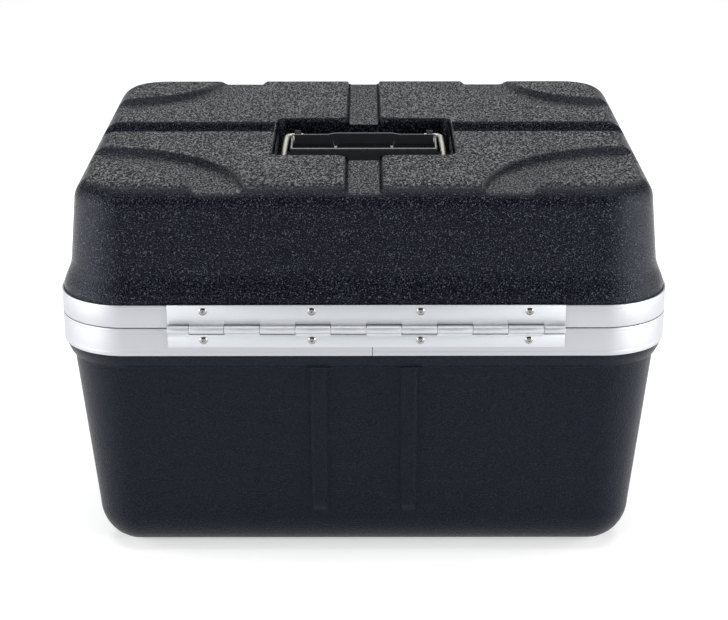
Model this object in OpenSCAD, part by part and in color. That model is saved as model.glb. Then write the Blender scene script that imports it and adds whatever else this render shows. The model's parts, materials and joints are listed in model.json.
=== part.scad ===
// Hard-shell top case: a deep ABS tub and an ABS lid, each rimmed by an aluminium closure frame.
// The frames are joined by a riveted piano hinge at the rear (-Y) and closed by two claw latches
// at the front (+Y). A folding carrying handle lies in a pocket in the lid.
// Millimetres, +Z up, origin at the centre of the underside.

/* [Closure frames] */
// Outside width of the frames, the widest part of the case
case_w = 525; // [500:1:560]
// Outside depth of the frames
case_d = 437; // [420:1:470]
// Plan radius of the frames' corners
corner_r = 58.5; // [54:0.5:64]
// Height of the base frame's lower edge
base_frame_z = 196.8; // [190:0.1:200]
// Height of the parting plane between base and lid
parting_z = 222.1; // [221:0.1:224]
// Height of the lid frame's upper edge
lid_frame_z = 242.3; // [240:0.1:246]
// Thickness of the frames' outer skin
frame_skin = 1.2; // [1:0.1:1.4]

/* [Shells] */
// Wall thickness of the moulded shells
wall = 3; // [2.5:0.1:3.2]
// Height of the lid's top above the underside
case_h = 340.6; // [336:0.1:350]
// Draft of the tub's left and right walls, in degrees
side_draft = 6.1; // [4.5:0.1:6.5]
// Draft of the tub's front and rear walls, in degrees
end_draft = 4.4; // [3:0.1:5]
// Draft of the lid's left and right walls, in degrees
lid_side_draft = 5.6; // [4.5:0.1:6.5]
// Draft of the lid's front and rear walls, in degrees
lid_end_draft = 4.2; // [3:0.1:5]
// Rounding of the tub's bottom edge
base_edge_r = 38; // [30:1:40]
// Rounding of the lid's top edge
lid_edge_r = 20; // [16:1:22]

/* [Moulded relief] */
// Depth of the lid's centre groove and corner channels
channel_depth = 6; // [4:0.5:7]
// Depth of the lid's left-right channel
cross_depth = 9; // [6:0.5:10]
// Width of the centre groove
groove_w = 29; // [24:1:34]
// Width of the left-right channel
cross_w = 33; // [28:1:38]
// Inner radius of the corner channels
channel_r_in = 101; // [96:1:106]
// Outer radius of the corner channels
channel_r_out = 144; // [138:1:150]
// Distance of the tub's ribs from the centre plane
rib_x = 39; // [34:1:46]
// Width of the tub's ribs
rib_w = 12; // [10:0.5:16]
// Depth of the relief moulded into the underside
foot_relief = 4; // [2:0.5:6]

/* [Handle] */
// Width of the handle pocket
pocket_w = 160; // [156:1:170]
// Depth of the pocket below the lid's top
pocket_depth = 34; // [33:0.5:38]
// Half the distance between the bail's arms
arm_x = 71.5; // [71.5:0.5:73]
// Diameter of the bail's wire
wire_d = 5; // [4:0.1:5.5]
// Length of the grip
grip_l = 134; // [128:1:134]

/* [Hinge] */
// Pitch of the hinge knuckles
knuckle_l = 30; // [28:0.5:32]
// Outside diameter of the knuckles
knuckle_d = 7; // [6.6:0.1:7.2]
// Diameter of the hinge pin
hinge_pin_d = 3; // [2.5:0.1:3.4]

/* [Latches] */
// Distance of each latch from the centre plane
latch_x = 140; // [110:1:160]
// Width of the latch claws
claw_w = 26; // [22:1:30]

/* [Hidden] */
$fn = 64;
HULL_FN = 32;

// Colours of the real pieces
ABS = [0.13, 0.14, 0.17];
ALUMINIUM = [0.86, 0.87, 0.88];
STEEL = [0.72, 0.72, 0.7];
BLACK_STEEL = [0.12, 0.12, 0.12];
GLOSS_BLACK = [0.05, 0.05, 0.06];
RUBBER = [0.08, 0.08, 0.08];

half_w = case_w / 2;
half_d = case_d / 2;
front_y = half_d;
rear_y = -half_d;
eps = 0.02;
slab = 0.05;

// Shell rims and the frame slots that hold them, as insets from the frames' outline
base_rim_inset = 3.3;
lid_rim_inset = 1.9;
rim_gap = 0.3;
rim_end_gap = 1.6;
flare_h = 12.8;
flare_inset = 8;
lid_flare_h = 21.5;
lid_flare_inset = 9.3;
lid_lip_inset = 5.4;
lid_lip_h = 12.6;
parting_gap = 0.3;
flange_t = 1.5;
bead_h = 2;
leg_t = 1.3;
seal_in = 12.8;
seal_out = 8;
seal_lip = 1.2;
groove_floor_z = parting_z - 5.1;

// Centre of the corner channels' arcs, middle of the left-right channel, and the plateau that
// keeps that channel apart from the pocket
channel_x = 244;
channel_y = 214;
cross_y = 3;
cross_stop = 2.5;

// Handle pocket and the handle's pivot
pocket_y0 = -95;
pocket_y1 = 32.5;
pocket_r = 6;
pocket_floor_z = case_h - pocket_depth;
pivot_y = 11;
pivot_z = case_h - 11.6;
bar_y = -60;
bar_z = case_h - 18.1;
bend_r = 4.4;
stub_end_x = 57;
bracket_x = 62;
bracket_t = 6;
bracket_foot = 2;
bracket_foot_w = 10;
bracket_head_r = 2.8;
bracket_head_h = 1.2;
bracket_hole_r = 1.7;
lug_r = 5.5;
bracket_rivet_y = 9;
bracket_rivet_r = 1.6;
backing_t = 2;
run_clear = 0.06;

// Hinge
hinge_clear = 0.3;
hinge_y = rear_y - hinge_clear - knuckle_d / 2;
hinge_x = 2;
leaf_t = 1.3;
knuckle_gap = 0.4;
full_knuckles = 10;
end_knuckle_l = 18.2;
leaf_drop = 17;
leaf_rise = 21;
rivet_r = 1.6;
rivet_hole_r = 1.7;
rivet_head_r = 3.25;
rivet_head_h = 1.6;
rivet_tail_r = 2.6;
rivet_tail_l = 1.4;
bore_mid = 5;
bore_l = 22;
base_rivet_z = parting_z - 10.5;
lid_rivet_z = parting_z + 15.4;
hinge_rivet_xs = [for (s = [-138, -46, 46, 138]) hinge_x + s];

// Latches
latch_pivot_y = front_y + 5.8;
latch_pivot_z = parting_z - 15;
latch_barrel_r = 3.5;
latch_pin_r = 1.5;
latch_plate_t = 1.2;
latch_plate_w = 48;
latch_plate_h = 18;
latch_rivet_dx = 19;
latch_rivet_z = latch_pivot_z + 1;
ear_t = 1.6;
claw_t = 2;
claw_rest = 170;
claw_reach = 26;
claw_tail = 2;
finger_lip = 3;
nose_l = 4.6;
nose_t = 2;
nose_gap = 0.4;
ear_gap = 0.3;
keeper_w = 34;
keeper_plate_h = 14;
keeper_t = 1.2;
keeper_lip_t = 1.6;
keeper_lip_past = 0.6;
keeper_rise = 5;
keeper_rivet_dx = 12;
keeper_rivet_z = parting_z + 14;
latch_xs = [-latch_x, latch_x];

// ---------- shared shapes ----------

// Rounded rectangle of exact arcs
module rounded_rect(half_x, half_y, r) {
    square([2 * half_x, 2 * (half_y - r)], center = true);
    square([2 * (half_x - r), 2 * half_y], center = true);
    for (sx = [-1, 1])
        for (sy = [-1, 1])
            translate([sx * (half_x - r), sy * (half_y - r)]) circle(r);
}

// The frames' plan outline, moved inwards
module plan(inset) {
    rounded_rect(half_w - inset, half_d - inset, corner_r - inset);
}

// A closed ring of the frames, between two insets and two heights
module ring(inset_out, inset_in, z0, z1) {
    translate([0, 0, z0])
        linear_extrude(z1 - z0)
            difference() {
                plan(inset_out);
                plan(inset_in);
            }
}

// One thin layer of a shell; its ends are inset less than its sides where the drafts differ
module layer(inset_x, inset_y, z) {
    r = max(6, corner_r - inset_x);
    translate([0, 0, z])
        linear_extrude(slab)
            rounded_rect(half_w - inset_x, half_d - inset_y, r, $fn = HULL_FN);
}

// Domed rivet along +Z: head above z = 0, shank and tail below
module rivet(grip, r = rivet_r, head_r = rivet_head_r, head_h = rivet_head_h) {
    dome_r = (head_r * head_r + head_h * head_h) / (2 * head_h);
    intersection() {
        translate([0, 0, head_h - dome_r]) sphere(dome_r);
        cylinder(r = head_r, h = head_h);
    }
    translate([0, 0, -grip - eps]) cylinder(r = r, h = grip + 2 * eps);
    translate([0, 0, -grip - rivet_tail_l]) cylinder(r = rivet_tail_r, h = rivet_tail_l);
}

// A bore through the frame wall at one end of the case; side is -1 rear, 1 front
module wall_bore(x, z, side, r = rivet_hole_r) {
    translate([x, side * (half_d - bore_mid), z])
        rotate([90, 0, 0])
            cylinder(r = r, h = bore_l, center = true);
}

// A rivet through the frame wall; stack is the thickness of what lies on the frame
module wall_rivet(x, z, side, stack) {
    grip = stack + seal_out;
    translate([x, side * (half_d + stack), z])
        rotate([-side * 90, 0, 0])
            rivet(grip);
}

// ---------- tub ----------

function run(dz, draft) = dz * tan(draft);
flare_z = base_frame_z - flare_h;

// Solid tub form, inset by t all round and raised by t
module tub_form(t) {
    drop = flare_z - base_edge_r;
    sx = flare_inset + run(drop, side_draft);
    sy = flare_inset + run(drop, end_draft);
    hull() {
        layer(flare_inset + t, flare_inset + t, flare_z);
        for (a = [0, 30, 60, 90])
            layer(sx + t + (base_edge_r - t) * (1 - cos(a)),
                sy + t + (base_edge_r - t) * (1 - cos(a)),
                base_edge_r - (base_edge_r - t) * sin(a));
    }
    hull() {
        layer(flare_inset + t, flare_inset + t, flare_z);
        layer(base_rim_inset + t, base_rim_inset + t, base_frame_z);
    }
}

// One moulded rib standing on the tub's front or rear wall
module rib(x, side) {
    proud = 3;
    z0 = base_edge_r + 6;
    z1 = flare_z + 4;
    y0 = half_d - flare_inset - run(flare_z - z0, end_draft);
    y1 = half_d - flare_inset;
    translate([x - rib_w / 2, 0, 0])
        mirror([0, side < 0 ? 1 : 0, 0])
            rotate([90, 0, 90])
                linear_extrude(rib_w)
                    polygon([[y0 - wall / 2, z0 - 4], [y0 + proud, z0 + 4],
                        [y1 + proud, z1], [y1 - wall / 2, z1]]);
}

// Grooves that leave four standing pads under the tub
module underside_relief(grow) {
    translate([-groove_w / 2 - grow, -half_d, -1])
        cube([groove_w + 2 * grow, case_d, foot_relief + grow + 1]);
    translate([-half_w, -cross_w / 2 - grow, -1])
        cube([case_w, cross_w + 2 * grow, foot_relief + grow + 1]);
}

module base_shell() {
    rim_top = parting_z - parting_gap / 2 - flange_t - rim_end_gap;
    color(ABS)
        difference() {
            union() {
                difference() {
                    tub_form(0);
                    underside_relief(0);
                }
                for (side = [-1, 1])
                    for (x = [-rib_x, rib_x])
                        rib(x, side);
                ring(base_rim_inset, base_rim_inset + wall, base_frame_z, rim_top);
            }
            difference() {
                tub_form(wall);
                underside_relief(wall);
            }
            for (x = hinge_rivet_xs)
                wall_bore(x, base_rivet_z, -1);
            for (x = latch_xs)
                for (dx = [-latch_rivet_dx, latch_rivet_dx])
                    wall_bore(x + dx, latch_rivet_z, 1);
        }
}

module base_frame() {
    top = parting_z - parting_gap / 2;
    leg_out = base_rim_inset + wall + rim_gap;
    seam_w = 0.4;
    seam_x = 7;
    color(ALUMINIUM)
        difference() {
            union() {
                ring(0, base_rim_inset - rim_gap, base_frame_z, base_frame_z + bead_h);
                ring(0, frame_skin, base_frame_z, top);
                ring(0, seal_out, top - flange_t, top);
                ring(leg_out, leg_out + leg_t, base_frame_z + 6, top);
                ring(leg_out, seal_in + seal_lip, groove_floor_z, groove_floor_z + flange_t);
                ring(seal_in, seal_in + seal_lip, groove_floor_z, top);
            }
            for (x = hinge_rivet_xs)
                wall_bore(x, base_rivet_z, -1);
            for (x = latch_xs)
                for (dx = [-latch_rivet_dx, latch_rivet_dx])
                    wall_bore(x + dx, latch_rivet_z, 1);
            translate([seam_x, rear_y - 1, base_frame_z - 1])
                cube([seam_w, frame_skin + 1.6, top - base_frame_z + 2]);
        }
}

module frame_gasket() {
    z0 = groove_floor_z + flange_t;
    color(RUBBER)
        ring(seal_out + 0.3, seal_in - 0.3, z0, z0 + 2);
}

// ---------- lid ----------

module lid_form(t) {
    z0 = lid_frame_z;
    flare_top = z0 + lid_flare_h;
    edge_z = case_h - lid_edge_r;
    sx = lid_flare_inset + run(edge_z - flare_top, lid_side_draft);
    sy = lid_flare_inset + run(edge_z - flare_top, lid_end_draft);
    hull() {
        layer(lid_flare_inset + t, lid_flare_inset + t, flare_top);
        for (a = [0, 30, 60, 90])
            layer(sx + t + (lid_edge_r - t) * (1 - cos(a)),
                sy + t + (lid_edge_r - t) * (1 - cos(a)),
                edge_z + (lid_edge_r - t) * sin(a) - slab);
    }
    hull() {
        layer(lid_flare_inset + t, lid_flare_inset + t, flare_top);
        layer(lid_lip_inset + t, lid_lip_inset + t, z0 + lid_lip_h);
    }
    hull() {
        layer(lid_lip_inset + t, lid_lip_inset + t, z0 + lid_lip_h);
        layer(lid_rim_inset + t, lid_rim_inset + t, z0);
    }
}

// Everything sunk into the lid's top; grow makes the form that the inside follows
module lid_recesses(grow) {
    above = 5;
    translate([0, (pocket_y0 + pocket_y1) / 2, pocket_floor_z - grow])
        linear_extrude(pocket_depth + grow + above)
            rounded_rect(pocket_w / 2 + grow, (pocket_y1 - pocket_y0) / 2 + grow,
                pocket_r + grow);
    translate([-groove_w / 2 - grow, -half_d, case_h - channel_depth - grow])
        cube([groove_w + 2 * grow, case_d, channel_depth + grow + above]);
    for (side = [-1, 1])
        translate([side > 0 ? pocket_w / 2 + cross_stop - grow : -half_w,
            cross_y - cross_w / 2 - grow, case_h - cross_depth - grow])
            cube([half_w - pocket_w / 2 - cross_stop + grow, cross_w + 2 * grow,
                cross_depth + grow + above]);
    for (sx = [-1, 1])
        for (sy = [-1, 1])
            translate([sx * channel_x, sy * channel_y, case_h - channel_depth - grow])
                difference() {
                    cylinder(r = channel_r_out + grow, h = channel_depth + grow + above);
                    translate([0, 0, -1])
                        cylinder(r = channel_r_in - grow, h = channel_depth + grow + above + 2);
                }
}

// The four rivets that hold each handle bracket through the pocket floor
module bracket_bores() {
    for (x = [-bracket_x, bracket_x])
        for (dy = [-bracket_rivet_y, bracket_rivet_y])
            translate([x, pivot_y + dy, pocket_floor_z - wall - 6])
                cylinder(r = bracket_hole_r, h = wall + 12);
}

module lid_shell() {
    rim_bottom = parting_z + parting_gap / 2 + flange_t + rim_end_gap;
    color(ABS)
        difference() {
            union() {
                difference() {
                    lid_form(0);
                    lid_recesses(0);
                }
                ring(lid_rim_inset, lid_rim_inset + wall, rim_bottom, lid_frame_z + slab);
            }
            difference() {
                lid_form(wall);
                lid_recesses(wall);
            }
            bracket_bores();
            for (x = hinge_rivet_xs)
                wall_bore(x, lid_rivet_z, -1);
            for (x = latch_xs)
                for (dx = [-keeper_rivet_dx, keeper_rivet_dx])
                    wall_bore(x + dx, keeper_rivet_z, 1);
        }
}

module lid_frame() {
    bottom = parting_z + parting_gap / 2;
    leg_out = lid_rim_inset + wall + rim_gap;
    tongue_out = 9.6;
    tongue_in = 11.2;
    color(ALUMINIUM)
        difference() {
            union() {
                ring(0, lid_rim_inset - rim_gap, lid_frame_z - bead_h, lid_frame_z);
                ring(0, frame_skin, bottom, lid_frame_z);
                ring(0, seal_in - 0.3, bottom, bottom + flange_t);
                ring(leg_out, leg_out + leg_t, bottom, lid_frame_z - 1);
                ring(tongue_out, tongue_in, bottom - 1.4, bottom + flange_t / 2);
            }
            for (x = hinge_rivet_xs)
                wall_bore(x, lid_rivet_z, -1);
            for (x = latch_xs)
                for (dx = [-keeper_rivet_dx, keeper_rivet_dx])
                    wall_bore(x + dx, keeper_rivet_z, 1);
        }
}

// ---------- hinge ----------

// Knuckle spans from left to right; the first one belongs to the base leaf
hinge_w = full_knuckles * knuckle_l + 2 * end_knuckle_l;
hinge_x0 = hinge_x - hinge_w / 2;
function knuckle_start(i) = i == 0 ? hinge_x0 : hinge_x0 + end_knuckle_l + (i - 1) * knuckle_l;
function knuckle_width(i) = i == 0 || i == full_knuckles + 1 ? end_knuckle_l : knuckle_l;

// One leaf with every second knuckle; up is 1 for the lid's leaf, -1 for the base's
module hinge_leaf(up, first, reach, rivet_z) {
    notch = knuckle_d / 2 + 0.5;
    difference() {
        union() {
            translate([hinge_x0, rear_y - leaf_t, up > 0 ? parting_z : parting_z - reach])
                cube([hinge_w, leaf_t, reach]);
            for (i = [first:2:full_knuckles + 1])
                translate([knuckle_start(i) + knuckle_gap / 2, hinge_y, parting_z])
                    rotate([0, 90, 0])
                        cylinder(d = knuckle_d, h = knuckle_width(i) - knuckle_gap);
        }
        for (i = [1 - first:2:full_knuckles + 1])
            translate([knuckle_start(i) - knuckle_gap / 2, rear_y - knuckle_d - 1,
                parting_z - notch])
                cube([knuckle_width(i) + knuckle_gap, knuckle_d + 2, 2 * notch]);
        for (i = [first:2:full_knuckles + 1])
            translate([knuckle_start(i), rear_y - hinge_clear, parting_z - up * (notch + 1) - notch])
                cube([knuckle_width(i), 1, 2 * notch]);
        translate([hinge_x0 - 1, hinge_y, parting_z])
            rotate([0, 90, 0])
                cylinder(d = hinge_pin_d + 2 * run_clear, h = hinge_w + 2);
        for (x = hinge_rivet_xs)
            wall_bore(x, rivet_z, -1);
    }
}

module base_hinge_leaf() {
    color(ALUMINIUM) hinge_leaf(-1, 0, leaf_drop, base_rivet_z);
}

module lid_hinge_leaf() {
    color(ALUMINIUM) hinge_leaf(1, 1, leaf_rise, lid_rivet_z);
}

module hinge_pin() {
    color(STEEL)
        translate([hinge_x0, hinge_y, parting_z])
            rotate([0, 90, 0])
                cylinder(d = hinge_pin_d, h = hinge_w);
}

module base_hinge_rivets() {
    color(STEEL)
        for (x = hinge_rivet_xs)
            wall_rivet(x, base_rivet_z, -1, leaf_t);
}

module lid_hinge_rivets() {
    color(STEEL)
        for (x = hinge_rivet_xs)
            wall_rivet(x, lid_rivet_z, -1, leaf_t);
}

// ---------- latches ----------

// Riveted plate with two ears that carry the claw's pin
module latch_plate(x) {
    ear_y = latch_pivot_y - front_y;
    color(STEEL)
        translate([x, front_y, 0])
            difference() {
                union() {
                    translate([-latch_plate_w / 2, 0, latch_pivot_z - latch_plate_h / 2])
                        cube([latch_plate_w, latch_plate_t, latch_plate_h]);
                    for (side = [-1, 1])
                        translate([side * (claw_w / 2 + ear_gap + ear_t / 2), 0, latch_pivot_z])
                            rotate([0, 90, 0])
                                linear_extrude(ear_t, center = true) {
                                    translate([-latch_barrel_r, 0])
                                        square([2 * latch_barrel_r, ear_y]);
                                    translate([0, ear_y]) circle(latch_barrel_r);
                                }
                }
                translate([0, ear_y, latch_pivot_z])
                    rotate([0, 90, 0])
                        cylinder(r = latch_pin_r, h = latch_plate_w, center = true);
                for (dx = [-latch_rivet_dx, latch_rivet_dx])
                    translate([dx, 0, latch_rivet_z])
                        rotate([90, 0, 0])
                            cylinder(r = rivet_hole_r, h = 8, center = true);
            }
}

module latch_plate_left() {
    latch_plate(-latch_x);
}

module latch_plate_right() {
    latch_plate(latch_x);
}

module latch_pin(x) {
    color(STEEL)
        translate([x, latch_pivot_y, latch_pivot_z])
            rotate([0, 90, 0])
                cylinder(r = latch_pin_r, h = claw_w + 2 * (ear_gap + ear_t), center = true);
}

module latch_pin_left() {
    latch_pin(-latch_x);
}

module latch_pin_right() {
    latch_pin(latch_x);
}

module latch_rivets() {
    color(STEEL)
        for (x = latch_xs)
            for (dx = [-latch_rivet_dx, latch_rivet_dx])
                wall_rivet(x + dx, latch_rivet_z, 1, latch_plate_t);
}

// The claw hangs released; turned back by claw_rest, its nose lies over the keeper's lip.
// The strip's end carries the nose inwards and a finger lip outwards
module latch_claw(x) {
    inner = latch_barrel_r - claw_t;
    color(STEEL)
        translate([x, latch_pivot_y, latch_pivot_z])
            rotate([-claw_rest, 0, 0])
                rotate([90, 0, 90])
                    difference() {
                        linear_extrude(claw_w, center = true) {
                            circle(latch_barrel_r);
                            translate([inner, -claw_tail]) square([claw_t, claw_tail + claw_reach]);
                            translate([inner - nose_l, claw_reach - nose_t])
                                square([nose_l + claw_t + finger_lip, nose_t]);
                        }
                        cylinder(r = latch_pin_r + run_clear, h = claw_w + 2, center = true);
                    }
}

module latch_claw_left() {
    latch_claw(-latch_x);
}

module latch_claw_right() {
    latch_claw(latch_x);
}

// Keeper plate on the lid frame, with the lip that a claw's nose pulls on
module keeper(x) {
    lip_top = latch_pivot_z + claw_reach - nose_t - nose_gap;
    lip_out = latch_pivot_y + keeper_lip_past - front_y;
    color(STEEL)
        translate([x, front_y, 0])
            difference() {
                union() {
                    translate([-keeper_w / 2, 0, parting_z + keeper_rise])
                        cube([keeper_w, keeper_t, keeper_plate_h]);
                    translate([-claw_w / 2, 0, lip_top - keeper_lip_t])
                        cube([claw_w, lip_out, keeper_lip_t]);
                }
                for (dx = [-keeper_rivet_dx, keeper_rivet_dx])
                    translate([dx, 0, keeper_rivet_z])
                        rotate([90, 0, 0])
                            cylinder(r = rivet_hole_r, h = 8, center = true);
            }
}

module keeper_left() {
    keeper(-latch_x);
}

module keeper_right() {
    keeper(latch_x);
}

module keeper_rivets() {
    color(STEEL)
        for (x = latch_xs)
            for (dx = [-keeper_rivet_dx, keeper_rivet_dx])
                wall_rivet(x + dx, keeper_rivet_z, 1, keeper_t);
}

// ---------- handle ----------

// Steel lug riveted to the pocket floor; the bail's stub turns in its bore
module handle_bracket(side) {
    foot_l = 2 * bracket_rivet_y + 10;
    color(BLACK_STEEL)
        translate([side * bracket_x, pivot_y, 0])
            difference() {
                union() {
                    translate([-bracket_foot_w / 2, -foot_l / 2, pocket_floor_z])
                        cube([bracket_foot_w, foot_l, bracket_foot]);
                    translate([-bracket_t / 2, -lug_r, pocket_floor_z])
                        cube([bracket_t, 2 * lug_r, pivot_z - pocket_floor_z]);
                    translate([0, 0, pivot_z])
                        rotate([0, 90, 0])
                            cylinder(r = lug_r, h = bracket_t, center = true);
                }
                translate([0, 0, pivot_z])
                    rotate([0, 90, 0])
                        cylinder(d = wire_d + 2 * run_clear, h = 20, center = true);
                for (dy = [-bracket_rivet_y, bracket_rivet_y])
                    translate([0, dy, pocket_floor_z - 1])
                        cylinder(r = bracket_hole_r, h = bracket_foot + 2);
            }
}

module handle_bracket_left() {
    handle_bracket(-1);
}

module handle_bracket_right() {
    handle_bracket(1);
}

module handle_bracket_rivets() {
    color(BLACK_STEEL)
        for (x = [-bracket_x, bracket_x])
            for (dy = [-bracket_rivet_y, bracket_rivet_y])
                translate([x, pivot_y + dy, pocket_floor_z + bracket_foot])
                    rivet(bracket_foot + wall + backing_t, bracket_rivet_r, bracket_head_r,
                        bracket_head_h);
}

// Steel plate under the pocket floor that spreads the load of both brackets
module handle_backing_plate() {
    plate_w = 2 * bracket_x + 20;
    plate_d = 34;
    color(STEEL)
        difference() {
            translate([-plate_w / 2, pivot_y - plate_d / 2, pocket_floor_z - wall - backing_t])
                cube([plate_w, plate_d, backing_t]);
            bracket_bores();
        }
}

// One side of the bail: the stub in the bracket, the arm, and the bend into the crossbar
module bail_side() {
    drop = bar_z - pivot_z;
    run = pivot_y - bar_y;
    arm_l = sqrt(run * run + drop * drop);
    slope = atan2(-drop, run);
    r = wire_d / 2;
    translate([0, pivot_y, pivot_z])
        rotate([slope, 0, 0]) {
            translate([stub_end_x, 0, 0])
                rotate([0, 90, 0])
                    cylinder(r = r, h = arm_x - bend_r - stub_end_x);
            translate([arm_x - bend_r, -bend_r, 0])
                rotate_extrude(angle = 90) translate([bend_r, 0]) circle(r);
            translate([arm_x, -bend_r, 0])
                rotate([90, 0, 0])
                    cylinder(r = r, h = arm_l - 2 * bend_r);
            translate([arm_x - bend_r, -arm_l + bend_r, 0])
                rotate([0, 0, -90])
                    rotate_extrude(angle = 90) translate([bend_r, 0]) circle(r);
            translate([0, -arm_l, 0])
                rotate([0, 90, 0])
                    cylinder(r = r, h = arm_x - bend_r);
        }
}

module handle_bail() {
    color(STEEL) {
        bail_side();
        mirror([1, 0, 0]) bail_side();
    }
}

// Grip moulded as an open trough with end walls and two cross webs, threaded on the crossbar
module handle_grip() {
    web_t = 3;
    end_t = 7;
    inner_l = grip_l - 2 * end_t;
    far_y = -24;
    near_y = -56;
    far_z = case_h + 1;
    near_z = case_h - 5;
    floor_z = case_h - 22;
    color(GLOSS_BLACK)
        difference() {
            rotate([90, 0, 90])
                linear_extrude(grip_l, center = true)
                    polygon([[far_y, far_z], [far_y, floor_z - 3], [far_y - 6, floor_z - 7],
                        [bar_y + 2, floor_z - 6], [bar_y - 6, floor_z - 1],
                        [bar_y - 7, floor_z + 6], [near_y - 1, near_z], [near_y + 2, near_z],
                        [near_y + 2, near_z - 3], [far_y - 3, far_z - 3], [far_y - 3, far_z]]);
            difference() {
                rotate([90, 0, 90])
                    linear_extrude(inner_l, center = true)
                        polygon([[far_y - 3, far_z + 1], [far_y - 3, floor_z],
                            [bar_y + 9, floor_z], [near_y + 2, floor_z + 10],
                            [near_y + 2, far_z + 1]]);
                for (side = [-1, 1])
                    translate([side * 26 - web_t / 2, near_y, floor_z - 1])
                        cube([web_t, far_y - near_y, 9]);
            }
            translate([0, bar_y, bar_z])
                rotate([0, 90, 0])
                    cylinder(d = wire_d + 0.04, h = grip_l + 2, center = true);
        }
}

base_shell();
base_frame();
frame_gasket();
base_hinge_leaf();
hinge_pin();
base_hinge_rivets();
latch_plate_left();
latch_plate_right();
latch_pin_left();
latch_pin_right();
latch_rivets();
lid_shell();
lid_frame();
lid_hinge_leaf();
lid_hinge_rivets();
keeper_left();
keeper_right();
keeper_rivets();
handle_bracket_left();
handle_bracket_right();
handle_bracket_rivets();
handle_backing_plate();
handle_bail();
handle_grip();
latch_claw_left();
latch_claw_right();
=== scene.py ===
"""Looks of the hard-shell top case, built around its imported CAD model.

Shapes are worked out in millimetres from the CAD boxes and joints, and scaled to metres when a mesh is
made. -Y is the hinge side, which faces the camera; the latches are on +Y.
"""
import json
import math

import bpy
import numpy as np
from mathutils import Matrix, Vector


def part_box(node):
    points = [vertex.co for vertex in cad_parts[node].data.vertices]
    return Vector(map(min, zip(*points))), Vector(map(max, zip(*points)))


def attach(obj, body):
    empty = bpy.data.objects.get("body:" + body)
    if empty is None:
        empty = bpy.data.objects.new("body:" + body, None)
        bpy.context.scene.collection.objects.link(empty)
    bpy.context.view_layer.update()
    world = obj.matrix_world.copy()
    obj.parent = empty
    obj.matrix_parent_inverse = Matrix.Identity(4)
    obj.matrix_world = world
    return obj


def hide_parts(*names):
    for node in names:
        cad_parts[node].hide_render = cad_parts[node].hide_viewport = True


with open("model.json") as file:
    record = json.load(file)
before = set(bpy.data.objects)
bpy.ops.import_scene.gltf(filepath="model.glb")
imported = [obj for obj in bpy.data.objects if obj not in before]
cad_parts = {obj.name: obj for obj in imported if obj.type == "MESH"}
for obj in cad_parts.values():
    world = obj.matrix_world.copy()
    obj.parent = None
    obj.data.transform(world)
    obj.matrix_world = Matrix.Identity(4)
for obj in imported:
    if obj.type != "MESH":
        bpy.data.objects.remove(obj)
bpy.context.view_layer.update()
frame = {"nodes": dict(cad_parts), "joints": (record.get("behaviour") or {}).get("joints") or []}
MM = 0.001

# ---------- driving values, in millimetres ----------

WALL = 3.0
CORNER_R = 58.5  # plan corner radius of the closure frames
TUB_RIM_INSET = 3.3  # how far the tub's rim lies inside the frames' outline
LID_RIM_INSET = 1.9
TUB_BAND = (1.2, 5.8, 11.2)  # shoulder under the frame: inset at its top and bottom, and its height
TUB_PANEL_INSET = 8.0  # inset of the wall panels just below the shoulder
LID_FLARE = (25.0, 7.4)  # the lid's flare above its frame: height and inset
LID_DRAFT_FROM = 21.5  # height above the frame where the lid's walls start to lean in
TUB_DRAFT = (6.1, 4.4)  # degrees, side walls and end walls
LID_DRAFT = (5.6, 4.2)
TUB_EDGE_R = 38.0
LID_EDGE_R = 20.0
GROOVE = (26.0, 31.0, 6.0)  # centre groove: width at the floor and at the top, depth
CROSS_Y = (-15.5, 22.0)  # left-right channel, its near and far top edges
CROSS_DEPTH = 9.5
CROSS_STOP = 2.5  # plateau left between that channel and the pocket
CROSS_WALL = 6.0  # width of that channel's sloping walls
CORNER_CHANNEL = (244.0, 214.0, 98.0, 147.0, 6.0)  # centre x, centre y, radii at the top, depth
CORNER_WALL = 6.5
POCKET_X = 80.0
POCKET_Y = (-95.0, 32.5)
POCKET_MID_Y, POCKET_HALF_Y = (POCKET_Y[0] + POCKET_Y[1]) / 2, (POCKET_Y[1] - POCKET_Y[0]) / 2
POCKET_R = 6.0
POCKET_DEPTH = 34.0
PLATEAU_R = 9.0  # rounding of the plateau's corners where the centre groove meets the pocket
RIB_X, RIB_W, RIB_H = 39.0, 10.5, 3.0
PANEL_R = 7.0  # rounding of the wall panels' upper corners
RIB_FLANK = 2.2
FOOT_RELIEF = 4.0
FOOT_CROSS = 19.0  # half the width of the underside's left-right groove
SEAM_X = 7.0  # where the base frame's ends meet at the rear
SEAM_GAP = 0.5
OUTLINE_STEPS = 24  # points round each corner of the frames
KNUCKLES, KNUCKLE_L, KNUCKLE_D, KNUCKLE_GAP = 10, 30.0, 7.0, 0.5
LEAF_T = 1.3
CURL_T, CURL_TOP = 1.7, 7.0  # a knuckle's wall, and how far from the parting its sheet starts
FRAME_GAP = 0.05  # between the hinge's leaves and the frames
FRAME_STACK = 8.0  # what the hinge rivets pass through behind the leaf
HINGE_RIVETS = (-138.0, -46.0, 46.0, 138.0)
WIRE_R, STUB_X = 2.5, 57.0  # the bail's wire and the ends of its stubs
ARM_X = (72.0, 73.2)  # the bail's arms at the pivot and at the crossbar
BAR_Y, BAR_Z = -60.0, 322.5  # the crossbar


def mm_box(node):
    """A CAD node's lowest and highest corners, in millimetres."""
    low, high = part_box(node)
    return np.array(low) / MM, np.array(high) / MM


def joint_point(name):
    """A joint's place, in millimetres."""
    found = next(j for j in frame["joints"] if j["name"] == name)
    return np.array(found["pos_m"]) / MM


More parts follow.
